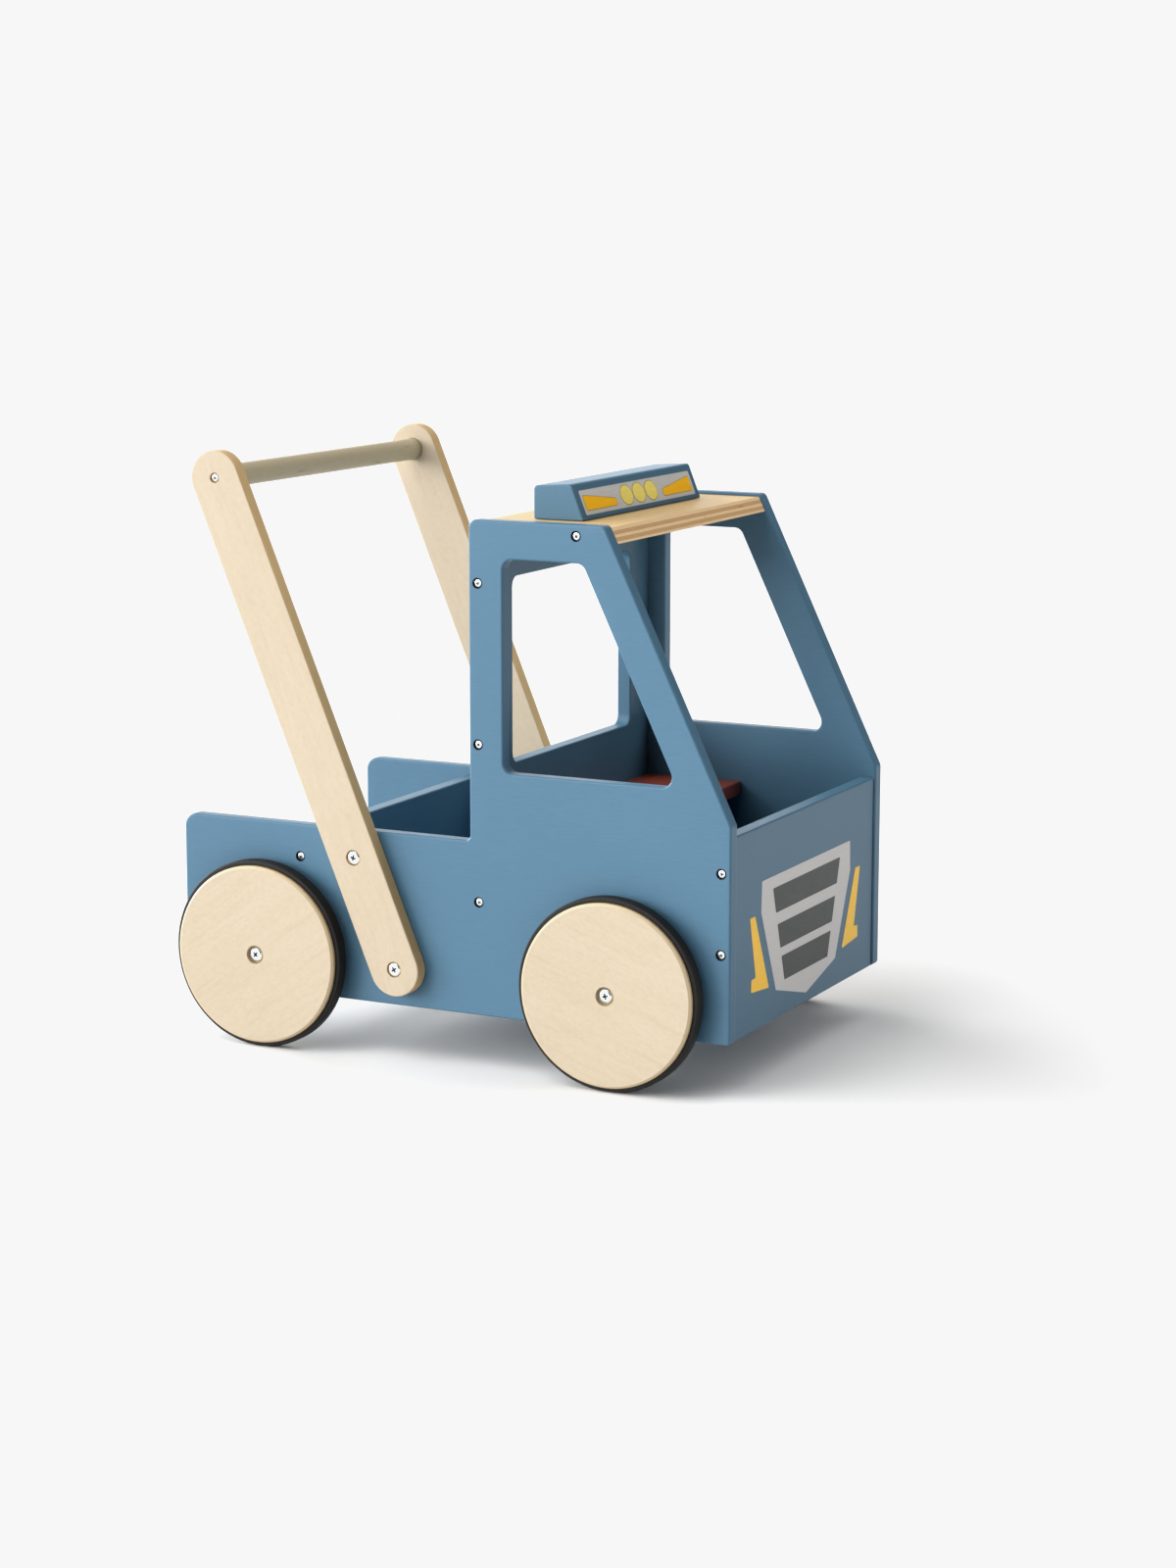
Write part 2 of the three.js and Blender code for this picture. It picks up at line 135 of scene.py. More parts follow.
def finish_mesh(bm, name, material, matrix, sharp_degrees=50):
    mesh = bpy.data.meshes.new(name)
    bm.to_mesh(mesh)
    bm.free()
    mesh.polygons.foreach_set("use_smooth", [True] * len(mesh.polygons))
    mesh.set_sharp_from_angle(angle=math.radians(sharp_degrees))
    return place(mesh, name, material, matrix)


def place(mesh, name, material, matrix):
    """Puts a mesh where matrix says. Its own coordinates stay in GRAIN_SPACE for the material."""
    local = mesh.attributes.new(GRAIN_SPACE, "FLOAT_VECTOR", "POINT")
    local.data.foreach_set("vector", [value for vertex in mesh.vertices for value in vertex.co])
    mesh.transform(matrix)
    piece = bpy.data.objects.new(name, mesh)
    bpy.context.scene.collection.objects.link(piece)
    if not mesh.materials:
        mesh.materials.append(material)
    weighted = piece.modifiers.new("face normals", "WEIGHTED_NORMAL")
    weighted.keep_sharp = True
    weighted.weight = 80
    return piece


def board(name, outer, thickness, material, matrix, edge=1.6 * MM, holes=(), pockets=(), steps=6,
          pocket_painted_shade=None):
    """A plywood board with rounded edges.

    outer and holes are anticlockwise outlines of (x, y, radius). pockets are (x, y, radius, depth, face):
    round recesses, in the upper face where face is 1 and in the lower one where it is -1.
    """
    bm = bmesh.new()
    half = thickness / 2
    profile = edge_profile(half, edge)
    caps = {1: [], -1: []}
    for outline, direction in [(outer, 1)] + [(hole, -1) for hole in holes]:
        rings = []
        for inset, z in profile:
            points = rounded_points(offset_corners(outline, direction * inset), steps)
            rings.append(add_ring(bm, points, z))
        for lower, upper in zip(rings, rings[1:]):
            if direction > 0:
                join_rings(bm, lower, upper)
            else:
                join_rings(bm, upper, lower)
        caps[-1].append(rings[0])
        caps[1].append(rings[-1])
    for x, y, radius, depth, face in pockets:
        lip = 0.2 * MM
        levels = [(radius + lip, 0), (radius + 0.3 * lip, 0.3 * lip), (radius, lip), (radius, depth),
                  (radius * 0.45, depth)]
        before = set(bm.faces)
        rings = [add_ring(bm, circle_points(x, y, r, 32), face * (half - down)) for r, down in levels]
        for outside, inside in zip(rings, rings[1:]):
            if face > 0:
                join_rings(bm, outside, inside)
            else:
                join_rings(bm, inside, outside)
        bm.faces.new(rings[-1] if face > 0 else list(reversed(rings[-1])))
        caps[face].append(rings[0])
        # painted shade: with a pocket material, each pocket's walls and floor take it, a dark paint that
        # stands for the shade in the hole
        if pocket_painted_shade:
            for wall in set(bm.faces) - before:
                wall.material_index = 1
    for face, rings in caps.items():
        fill_cap(bm, rings, face)
    bmesh.ops.recalc_face_normals(bm, faces=bm.faces)
    piece = finish_mesh(bm, name, material, matrix)
    if pocket_painted_shade:
        piece.data.materials.append(pocket_painted_shade)
    return piece


def turned_mesh(name, profile, segments, material, sharp_degrees=50, matrix=Matrix.Identity(4)):
    """A turned piece about local Z. profile is a list of (radius, z); radius 0 closes it on the axis."""
    bm = bmesh.new()
    rings = []
    for radius, z in profile:
        if radius == 0:
            rings.append([bm.verts.new((0, 0, z))])
        else:
            rings.append(add_ring(bm, circle_points(0, 0, radius, segments), z))
    closed = profile[0][0] != 0
    pairs = list(zip(rings, rings[1:]))
    if closed:
        pairs.append((rings[-1], rings[0]))
    for first, second in pairs:
        for i in range(segments):
            j = (i + 1) % segments
            corners = [first[i % len(first)], first[j % len(first)], second[j % len(second)],
                       second[i % len(second)]]
            unique = list(dict.fromkeys(corners))
            if len(unique) > 2:
                bm.faces.new(unique)
    bmesh.ops.recalc_face_normals(bm, faces=bm.faces)
    return finish_mesh(bm, name, material, matrix, sharp_degrees)


def round_profile(corners, steps=5):
    """A turned profile with rounded corners, from (radius, z, rounding) points."""
    points = []
    last = len(corners) - 1
    for i, (radius, z, rounding) in enumerate(corners):
        if rounding == 0 or i in (0, last):
            points.append((radius, z))
            continue
        here = Vector((radius, z))
        before = (Vector(corners[i - 1][:2]) - here).normalized()
        after = (Vector(corners[i + 1][:2]) - here).normalized()
        start, end = here + before * rounding, here + after * rounding
        for step in range(steps + 1):
            t = step / steps
            point = start * (1 - t) ** 2 + here * 2 * t * (1 - t) + end * t * t
            points.append((point.x, point.y))
    return points


def facing(direction, origin):
    """A frame at origin whose local Z points along direction."""
    turn = Vector(direction).to_track_quat("Z", "Y").to_matrix().to_4x4()
    return Matrix.Translation(origin) @ turn


def axes_frame(local_x, local_y, origin):
    """A frame at origin from the directions of its local X and Y."""
    local_z = local_x.cross(local_y)
    turn = Matrix((local_x, local_y, local_z)).transposed().to_4x4()
    return Matrix.Translation(origin) @ turn


def node_middle(node):
    low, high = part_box(node)
    return (low + high) / 2


def node_size(node):
    low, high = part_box(node)
    return high - low


def stands_for(piece, node, body):
    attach(piece, body)
    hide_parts(node)
    return piece


# ---------------------------------------------------------------- materials

class Shader:
    """A few shorthands for building one node material."""

    def __init__(self, name, roughness=0.5, metallic=0.0, specular=0.5, coat=0.0):
        self.material = bpy.data.materials.new(name)
        self.material.use_nodes = True
        self.nodes = self.material.node_tree.nodes
        self.links = self.material.node_tree.links
        self.bsdf = self.nodes["Principled BSDF"]
        self.bsdf.inputs["Roughness"].default_value = roughness
        self.bsdf.inputs["Metallic"].default_value = metallic
        self.bsdf.inputs["Specular IOR Level"].default_value = specular
        self.bsdf.inputs["Coat Weight"].default_value = coat
        self.coords = self.nodes.new("ShaderNodeTexCoord")
        self.grain = self.nodes.new("ShaderNodeAttribute")
        self.grain.attribute_name = GRAIN_SPACE

    def link(self, output, target):
        self.links.new(output, target)

    def reorder(self, source, axes):
        """Puts the coordinates named by axes, such as "zxy", into X, Y and Z."""
        split = self.nodes.new("ShaderNodeSeparateXYZ")
        joined = self.nodes.new("ShaderNodeCombineXYZ")
        self.link(source, split.inputs[0])
        for i, letter in enumerate(axes):
            self.link(split.outputs["xyz".index(letter)], joined.inputs[i])
        return joined.outputs[0]

    def scaled(self, source, scale, offset=(0, 0, 0)):
        mapping = self.nodes.new("ShaderNodeMapping")
        mapping.inputs["Scale"].default_value = scale
        mapping.inputs["Location"].default_value = offset
        self.link(source, mapping.inputs["Vector"])
        return mapping.outputs["Vector"]

    def noise(self, vector, scale=1.0, detail=4.0, roughness=0.55, distortion=0.0):
        node = self.nodes.new("ShaderNodeTexNoise")
        node.inputs["Scale"].default_value = scale
        node.inputs["Detail"].default_value = detail
        node.inputs["Roughness"].default_value = roughness
        node.inputs["Distortion"].default_value = distortion
        self.link(vector, node.inputs["Vector"])
        return node.outputs["Fac"]

    def ramp(self, factor, stops, interpolation="LINEAR"):
        """stops are (position, colour) or (position, grey)."""
        node = self.nodes.new("ShaderNodeValToRGB")
        node.color_ramp.interpolation = interpolation
        elements = node.color_ramp.elements
        while len(elements) < len(stops):
            elements.new(0.5)
        for element, (position, colour) in zip(elements, stops):
            element.position = position
            if not hasattr(colour, "__len__"):
                colour = (colour, colour, colour)
            element.color = (*colour, 1)
        self.link(factor, node.inputs["Fac"])
        return node.outputs["Color"]

    def mix(self, factor, first, second, blend="MIX"):
        node = self.nodes.new("ShaderNodeMix")
        node.data_type = "RGBA"
        node.blend_type = blend
        for value, socket in ((factor, node.inputs[0]), (first, node.inputs[6]), (second, node.inputs[7])):
            if isinstance(value, bpy.types.NodeSocket):
                self.link(value, socket)
            elif hasattr(value, "__len__"):
                socket.default_value = (*value, 1)
            else:
                socket.default_value = value
        return node.outputs[2]

    def math(self, operation, first, second=0.0, third=0.0):
        node = self.nodes.new("ShaderNodeMath")
        node.operation = operation
        for value, socket in zip((first, second, third), node.inputs):
            if isinstance(value, bpy.types.NodeSocket):
                self.link(value, socket)
            else:
                socket.default_value = value
        return node.outputs[0]

    def bump(self, height, strength, distance, after=None):
        node = self.nodes.new("ShaderNodeBump")
        node.inputs["Strength"].default_value = strength
        node.inputs["Distance"].default_value = distance
        self.link(height, node.inputs["Height"])
        if after is not None:
            self.link(after, node.inputs["Normal"])
        return node.outputs["Normal"]

    def finish(self, colour=None, roughness=None, normal=None):
        for value, socket in ((colour, "Base Color"), (roughness, "Roughness"), (normal, "Normal")):
            if value is not None:
                self.link(value, self.bsdf.inputs[socket])
        return self.material


def tint(colour, factor):
    return tuple(min(channel * factor, 1) for channel in colour)


def edge_mask(shader, layer_axis):
    """1 where a board's cut edge shows, 0 on its faces."""
    split = shader.nodes.new("ShaderNodeSeparateXYZ")
    shader.link(shader.coords.outputs["Normal"], split.inputs[0])
    along = shader.math("ABSOLUTE", split.outputs["xyz".index(layer_axis)])
    return shader.ramp(along, [(0.6, 1.0), (0.92, 0.0)])


def painted_wood(name, colour, axes="xyz", roughness=0.42, grain=1.0):
    """Satin paint over birch plywood: the grain shows faintly through it. axes give grain, across, layers."""
    shader = Shader(name, specular=0.25)
    place_vector = shader.reorder(shader.grain.outputs["Vector"], axes)
    streaks = shader.noise(shader.scaled(place_vector, (60, 850, 850)), detail=5, roughness=0.6)
    fine = shader.noise(shader.scaled(place_vector, (240, 3200, 3200)), detail=3, roughness=0.6)
    clouds = shader.noise(shader.scaled(place_vector, (9, 16, 16)), detail=3)
    tone = shader.ramp(streaks, [(0.3, tint(colour, 0.955)), (0.7, tint(colour, 1.04))])
    cloudy = shader.ramp(clouds, [(0.3, 0.965), (0.7, 1.0)])
    base = shader.mix(1.0, tone, cloudy, "MULTIPLY")
    brushed = shader.ramp(fine, [(0.25, 0.965), (0.6, 1.0)])
    base = shader.mix(1.0, base, brushed, "MULTIPLY")
    rough = shader.ramp(streaks, [(0.2, roughness - 0.06), (0.8, roughness + 0.08)])
    normal = shader.bump(streaks, 0.16 * grain, 0.0003)
    normal = shader.bump(fine, 0.12 * grain, 0.00015, normal)
    return shader.finish(base, rough, normal)


def birch(name, light, dark, ply_light, ply_dark, axes="xyz", facing_axis="y", middle=0.0,
          roughness=0.46, layer=1.7 * MM):
    """Clear-lacquered birch plywood; its cut edges show the plies.

    axes give grain, across and layers in the piece's own space, and middle is the board's middle there.
    Its faces look along facing_axis.
    """
    shader = Shader(name, specular=0.25)
    place_vector = shader.reorder(shader.grain.outputs["Vector"], axes)
    warp = shader.noise(shader.scaled(place_vector, (7, 24, 24)), detail=3, distortion=0.6)
    flame = shader.noise(shader.scaled(place_vector, (12, 150, 70)), detail=6, roughness=0.62, distortion=1.1)
    fibres = shader.noise(shader.scaled(place_vector, (120, 2000, 2000)), detail=4, roughness=0.7)
    mottle = shader.noise(shader.scaled(place_vector, (260, 420, 420)), detail=4, roughness=0.65)
    face = shader.ramp(flame, [(0.25, dark), (0.55, light), (0.85, tint(light, 1.02))])
    for factor, low, high, deep in ((warp, 0.3, 0.65, (0.965, 0.96, 0.945)),
                                    (fibres, 0.25, 0.55, (0.965, 0.955, 0.93)),
                                    (mottle, 0.30, 0.60, (0.95, 0.94, 0.91))):
        shade = shader.ramp(factor, [(low, deep), (high, (1, 1, 1))])
        face = shader.mix(1.0, face, shade, "MULTIPLY")
    flecks = shader.noise(shader.scaled(place_vector, (170, 900, 900)), detail=2, roughness=0.5)
    fleck_mask = shader.ramp(flecks, [(0.71, 0.0), (0.78, 0.22)])
    face = shader.mix(fleck_mask, face, tint(dark, 0.68))

    split = shader.nodes.new("ShaderNodeSeparateXYZ")
    shader.link(place_vector, split.inputs[0])
    wobble = shader.math("MULTIPLY", warp, 0.25 * layer)
    depth = shader.math("ADD", split.outputs[2], wobble)
    raised = shader.math("ADD", depth, 1.4 * layer - middle)
    phase = shader.math("FRACT", shader.math("DIVIDE", raised, 2 * layer))
    glue = tint(ply_dark, 0.78)
    layers = shader.ramp(phase, [(0.0, tint(ply_dark, 0.95)), (0.45, ply_dark), (0.5, glue),
                                 (0.56, ply_light), (0.94, tint(ply_light, 0.95)), (1.0, glue)])
    pores = shader.noise(shader.scaled(place_vector, (90, 300, 1500)), detail=5, roughness=0.7)
    streaks = shader.ramp(pores, [(0.3, (0.91, 0.87, 0.81)), (0.62, (1, 1, 1))])
    layers = shader.mix(1.0, layers, streaks, "MULTIPLY")
    knots = shader.noise(shader.scaled(place_vector, (28, 60, 420), (3.1, 0.7, 1.9)), detail=1, roughness=0.4)
    knot_mask = shader.ramp(knots, [(0.745, 0.0), (0.80, 0.85)])
    layers = shader.mix(knot_mask, layers, tint(dark, 0.16))
    base = shader.mix(edge_mask(shader, facing_axis), face, layers)

    rough = shader.ramp(fibres, [(0.2, roughness - 0.05), (0.8, roughness + 0.1)])
    normal = shader.bump(fibres, 0.14, 0.00014)
    normal = shader.bump(flame, 0.06, 0.00025, normal)
    return shader.finish(base, rough, normal)


def rubber_material(name):
    shader = Shader(name, roughness=0.66, specular=0.2)
    place_vector = shader.coords.outputs["Object"]
    speckle = shader.noise(place_vector, 1500, 4, 0.6)
    dust = shader.noise(place_vector, 45, 4, 0.6)
    base = shader.ramp(dust, [(0.35, (0.007, 0.0065, 0.006)), (0.75, (0.017, 0.0155, 0.0145))])
    rough = shader.ramp(dust, [(0.3, 0.52), (0.7, 0.72)])
    return shader.finish(base, rough, shader.bump(speckle, 0.25, 0.00012))


def zinc_material(name, low, high, metallic=0.95):
    """Bright zinc plate whose colour wanders between low and high."""
    shader = Shader(name, metallic=metallic, specular=0.5)
    place_vector = shader.coords.outputs["Object"]
    cloud = shader.noise(place_vector, 300, 4, 0.6)
    scuff = shader.noise(shader.scaled(place_vector, (600, 5200, 600)), detail=3)
    base = shader.ramp(cloud, [(0.3, low), (0.7, high)])
    rough = shader.ramp(scuff, [(0.3, 0.18), (0.75, 0.3)])
    return shader.finish(base, rough, shader.bump(scuff, 0.06, 0.00004))


def nylon_material(name):
    shader = Shader(name, specular=0.4)
    place_vector = shader.coords.outputs["Object"]
    pebble = shader.noise(place_vector, 2600, 3, 0.6)
    tone = shader.noise(place_vector, 90, 3)
    base = shader.ramp(tone, [(0.3, (0.025, 0.026, 0.028)), (0.7, (0.04, 0.042, 0.045))])
    rough = shader.ramp(tone, [(0.3, 0.42), (0.7, 0.55)])
    return shader.finish(base, rough, shader.bump(pebble, 0.3, 0.00006))


def print_material(name, colour, roughness=0.4):
    """Screen-printed ink that lets the wood grain under it show a little."""
    shader = Shader(name, specular=0.22)
    place_vector = shader.coords.outputs["Object"]
    grain = shader.noise(shader.scaled(place_vector, (900, 45, 900)), detail=5, roughness=0.6)
    dots = shader.noise(place_vector, 2200, 2)
    base = shader.ramp(grain, [(0.3, tint(colour, 0.93)), (0.7, tint(colour, 1.03))])
    base = shader.mix(1.0, base, shader.ramp(dots, [(0.2, 0.95), (0.6, 1.0)]), "MULTIPLY")
    rough = shader.ramp(grain, [(0.2, roughness - 0.05), (0.8, roughness + 0.08)])
    return shader.finish(base, rough, shader.bump(grain, 0.2, 0.0003))


BLUE = (0.0605, 0.141, 0.2155)
# painted shade: this dark navy on the walls and floor of each screw hole stands for the shadow inside it
PAINTED_HOLE_SHADE = (0.008, 0.016, 0.028)   # paint in the shadow of a screw hole
RUST = (0.26, 0.055, 0.035)
BIRCH = {"light": (0.455, 0.382, 0.285), "dark": (0.435, 0.360, 0.262)}
DOWEL = {"light": (0.460, 0.395, 0.262), "dark": (0.430, 0.360, 0.230)}
ROOF = {"light": (0.600, 0.420, 0.205), "dark": (0.540, 0.365, 0.165)}

blue_along_x = painted_wood("blue_paint", BLUE)
blue_along_z = painted_wood("blue_paint_block", BLUE, axes="zxy")
# painted shade: the navy paint for the insides of the screw holes, standing for their shadow
blue_hole_painted_shade = painted_wood("blue_paint_painted_hole_shade", PAINTED_HOLE_SHADE, roughness=0.6)
rust_paint = painted_wood("rust_paint", RUST, roughness=0.38)
birch_plain = birch("birch", **BIRCH, ply_light=(0.66, 0.465, 0.235), ply_dark=(0.60, 0.405, 0.19))
birch_disc = birch("birch_disc", **BIRCH, ply_light=(0.60, 0.47, 0.285), ply_dark=(0.50, 0.38, 0.21),
                   middle=node_size("wheel_disc_front_right").y / 2)
birch_roof = birch("birch_roof", **ROOF, ply_light=(0.80, 0.57, 0.32), ply_dark=(0.56, 0.345, 0.165),
                   axes="zxy", facing_axis="z", middle=node_middle("roof_board").z, layer=2.4 * MM)
birch_dowel = birch("birch_dowel", **DOWEL, ply_light=DOWEL["light"], ply_dark=DOWEL["dark"],
                    axes="zxy", facing_axis="z", layer=60 * MM)
rubber = rubber_material("rubber")
zinc = zinc_material("zinc", (0.66, 0.72, 0.73), (0.84, 0.88, 0.88))
# painted shade: a dark, dull zinc for the faces of each fastener's cross, standing for the shadow inside the
# drive
zinc_recess_painted_shade = zinc_material("zinc_recess_painted_shade", (0.035, 0.055, 0.065), (0.075, 0.105, 0.115), metallic=0.3)
nylon = nylon_material("nylon")
print_grey = print_material("print_grey", (0.55, 0.54, 0.53))
print_dark = print_material("print_dark", (0.036, 0.040, 0.039))
print_amber = print_material("print_amber", (0.95, 0.56, 0.035))
print_orange = print_material("print_orange", (0.95, 0.50, 0.01))
print_cream = print_material("print_cream", (0.86, 0.72, 0.17))
print_olive = print_material("print_olive", (0.34, 0.31, 0.08))


# ---------------------------------------------------------------- driving dimensions of the boards

BOARD = 12 * MM
SCREW_RING = 4.0 * MM          # recess round a wood screw's head
SCREW_RECESS = 2.6 * MM
BOLT_RING = 6.2 * MM           # recess round a bolt's head in a handle arm
BOLT_RECESS = 2.9 * MM
GRIP_SOCKET_DEPTH = 6 * MM     # how far the grip goes into each arm
GRIP_SOCKET_PLAY = 0.3 * MM
panel_low, panel_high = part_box("side_panel_right")
REAR, FRONT = panel_low.x, panel_high.x
BASE, TOP = panel_low.z, panel_high.z
BED_SIDE = BASE + 136 * MM
BONNET = BASE + 165 * MM
CAB_REAR = 20 * MM
CAB_ROOF_FRONT = 133 * MM
SLOPE = (FRONT - CAB_ROOF_FRONT) / (TOP - BONNET)
WINDOW_SILL = BASE + 190 * MM
SIDE_WINDOW_TOP = BASE + 352.3 * MM
REAR_WINDOW_TOP = BASE + 333.5 * MM
REAR_WINDOW_HALF = 104 * MM
WINDOW_REAR = 48.5 * MM
WINDOW_FRAME_SHIFT = 28.5 * MM * math.hypot(1, SLOPE)
CORNER = 8 * MM


def slope_x(z):
    return FRONT - (z - BONNET) * SLOPE


# ---------------------------------------------------------------- body

PANEL_SCREWS = ("rear_wall_top", "rear_wall_middle", "rear_wall_bottom", "roof", "front_panel_top",
                "front_panel_bottom", "tailgate", "floor")


def side_panel(label, side):
    node = f"side_panel_{label}"
    outer = [
        (REAR, BASE, 3 * MM), (FRONT, BASE, 3 * MM), (FRONT, BONNET, 6 * MM),
        (CAB_ROOF_FRONT, TOP, 5 * MM), (CAB_REAR, TOP, 6 * MM), (CAB_REAR, BED_SIDE, 4 * MM),
        (REAR, BED_SIDE, 10 * MM),
    ]
    window = [
        (WINDOW_REAR, WINDOW_SILL, CORNER),
        (slope_x(WINDOW_SILL) - WINDOW_FRAME_SHIFT, WINDOW_SILL, CORNER),
        (slope_x(SIDE_WINDOW_TOP) - WINDOW_FRAME_SHIFT, SIDE_WINDOW_TOP, CORNER),
        (WINDOW_REAR, SIDE_WINDOW_TOP, CORNER),
    ]
    pockets = []
    for screw in PANEL_SCREWS:
        centre = node_middle(f"screw_{screw}_{label}")
        pockets.append((centre.x, centre.z, SCREW_RING, SCREW_RECESS, -side))
    matrix = axes_frame(X_AXIS, Z_AXIS, Vector((0, node_middle(node).y, 0)))
    # the screw pockets get the dark navy: painted shade
    piece = board(f"{label}_side_board", outer, BOARD, blue_along_x, matrix,
                  holes=[window], pockets=pockets, pocket_painted_shade=blue_hole_painted_shade)
    return stands_for(piece, node, "chassis")


def cross_board(node, name, local_x, local_y, material, window=None, pockets=(), edge=1.4 * MM):
    """A rectangular board that fills its node's box. local_x is the grain's direction."""
    middle = node_middle(node)
    size = node_size(node)
    half_x = abs(size.dot(local_x)) / 2
    half_y = abs(size.dot(local_y)) / 2
    corner = 1.5 * MM
    outer = [(-half_x, -half_y, corner), (half_x, -half_y, corner),
             (half_x, half_y, corner), (-half_x, half_y, corner)]
    matrix = axes_frame(local_x, local_y, middle)
    # any screw pockets get the dark navy: painted shade
    piece = board(name, outer, BOARD, material, matrix, edge=edge, holes=[window] if window else [],
                  pockets=pockets, pocket_painted_shade=blue_hole_painted_shade if pockets else None)
    return stands_for(piece, node, "chassis")


def rear_wall():
    middle_z = node_middle("cab_rear_wall").z
    low, high = WINDOW_SILL - middle_z, REAR_WINDOW_TOP - middle_z
    window = [(-REAR_WINDOW_HALF, low, CORNER), (REAR_WINDOW_HALF, low, CORNER),
              (REAR_WINDOW_HALF, high, CORNER), (-REAR_WINDOW_HALF, high, CORNER)]
    pockets = []
    for label in SIDES:
        centre = node_middle(f"screw_seat_{label}")
        pockets.append((centre.y, centre.z - middle_z, SCREW_RING, SCREW_RECESS, -1))
    return cross_board("cab_rear_wall", "rear_wall_board", Y_AXIS, Z_AXIS, blue_along_x,
                       window, pockets)


def roof():
    low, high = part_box("roof_board")
    front_foot = high.x
    front_crown = high.x - (high.z - low.z) * SLOPE
    outer = [(low.x, low.z, 1 * MM), (front_foot, low.z, 1 * MM),
             (front_crown, high.z, 1 * MM), (low.x, high.z, 1 * MM)]
    matrix = axes_frame(X_AXIS, Z_AXIS, Vector((0, 0, 0)))
    piece = board("roof_ply", outer, high.y - low.y, birch_roof, matrix, edge=0.6 * MM)
    return stands_for(piece, "roof_board", "chassis")


LIGHT_BAR_FOOT = 42.5 * MM      # how far the sloped face stands in front of the rear one, at its foot
LIGHT_BAR_CROWN = 31.5 * MM     # and at its top
LIGHT_BAR_HEIGHTS = {"rear": 25.5 * MM, "crown": 27.5 * MM}


def light_bar():
    low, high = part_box("roof_light_bar")
    outer = [(low.x, low.z, 1.2 * MM), (low.x + LIGHT_BAR_FOOT, low.z, 1.2 * MM),
             (low.x + LIGHT_BAR_CROWN, low.z + LIGHT_BAR_HEIGHTS["crown"], 3 * MM),
             (low.x, low.z + LIGHT_BAR_HEIGHTS["rear"], 3 * MM)]
    matrix = axes_frame(X_AXIS, Z_AXIS, Vector((0, 0, 0)))
    piece = board("light_bar_block", outer, high.y - low.y, blue_along_z, matrix, edge=1.2 * MM)
    return stands_for(piece, "roof_light_bar", "chassis")


for label, side in SIDES.items():
    side_panel(label, side)
cross_board("front_panel", "bonnet_board", Y_AXIS, Z_AXIS, blue_along_x)
cross_board("tailgate", "tailgate_board", Y_AXIS, Z_AXIS, blue_along_x)
cross_board("floor_board", "floor_panel", X_AXIS, Y_AXIS, blue_along_x, edge=0.8 * MM)
cross_board("seat_board", "seat_panel", Y_AXIS, -X_AXIS, rust_paint, edge=1.8 * MM)
rear_wall()
roof()
light_bar()


# ---------------------------------------------------------------- printed decals

def flat_print(name, outline, thickness, material, matrix):
    """A thin layer of ink from an anticlockwise outline of (x, y) points, its back at local z = 0."""
    bm = bmesh.new()
    lower = add_ring(bm, outline, 0)
    upper = add_ring(bm, outline, thickness)
    join_rings(bm, lower, upper)
    fill_cap(bm, [lower], -1)
    fill_cap(bm, [upper], 1)
    bmesh.ops.recalc_face_normals(bm, faces=bm.faces)
    piece = finish_mesh(bm, name, material, matrix, sharp_degrees=30)
    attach(piece, "chassis")
    return piece


INK = 0.1 * MM


def softened(points, radius, steps=3):
    return rounded_points([(x, y, radius) for x, y in points], steps)


def front_decals():
    face_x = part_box("front_panel")[1].x
    matrix = axes_frame(Y_AXIS, Z_AXIS, Vector((face_x, 0, BASE)))
    # millimetres from the truck's middle, and up from the foot of the panel
    shield = [(0, 8), (59.5, 23), (89, 89), (88, 113), (-88, 113), (-89, 89), (-59.5, 23)]
    shield = [(x * MM, y * MM) for x, y in shield]
    flat_print("grille_print", softened(shield, 1.2 * MM), INK, print_grey, matrix)
    taper_top, taper_foot = (103.5, 67), (27.7, 43.2)

    def half_width(height):
        share = (height - taper_foot[0]) / (taper_top[0] - taper_foot[0])
        return taper_foot[1] + share * (taper_top[1] - taper_foot[1])

    for number, (low, high) in enumerate(((83.5, 103.5), (54.4, 74), (27.7, 47.5)), 1):
        slot = [(-half_width(low), low), (half_width(low), low),
                (half_width(high), high), (-half_width(high), high)]
        slot = [(x * MM, y * MM) for x, y in slot]
        flat_print(f"grille_slot_{number}", softened(slot, 0.8 * MM), 2 * INK, print_dark, matrix)
    lamp = [(73.3, 28), (107, 31), (106.5, 40.5), (98.5, 41.2), (110, 88.6), (100.5, 88.6)]
    for label, side in SIDES.items():
        outline = [(side * x * MM, y * MM) for x, y in lamp]
        if side < 0:
            outline.reverse()
        flat_print(f"front_lamp_{label}", softened(outline, 1.0 * MM), INK, print_amber, matrix)


